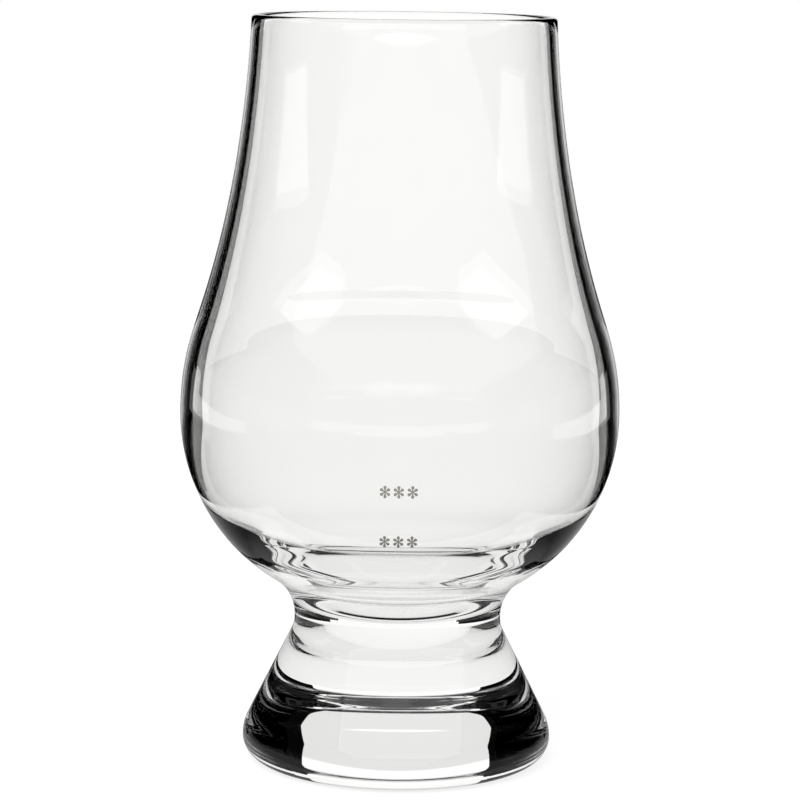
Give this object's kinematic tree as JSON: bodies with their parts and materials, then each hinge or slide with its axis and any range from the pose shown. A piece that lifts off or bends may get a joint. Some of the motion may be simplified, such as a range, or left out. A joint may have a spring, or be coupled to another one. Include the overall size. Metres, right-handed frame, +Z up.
{
  "type": "whisky nosing glass",
  "caption": "Clear tulip-shaped nosing glass: a full bowl that narrows to a tall mouth, on a short solid flared foot, with small printed fill marks on the front.",
  "frame": {"origin": "centre of the ring that the glass stands on, on the surface it stands on", "axes": "+Z up along the axis of the bowl and foot; -Y towards the side with the fill marks"},
  "size_m": [0.0676, 0.0676, 0.115],
  "materials": {
    "clear_glass": "clear, colourless, fire-polished",
    "fired_ink": "grey ceramic ink, printed and fired, satin"
  },
  "bodies": {
    "root": {"bowl": "clear_glass", "foot": "clear_glass", "upper_fill_mark": "fired_ink", "lower_fill_mark": "fired_ink"}
  },
  "joints": []
}
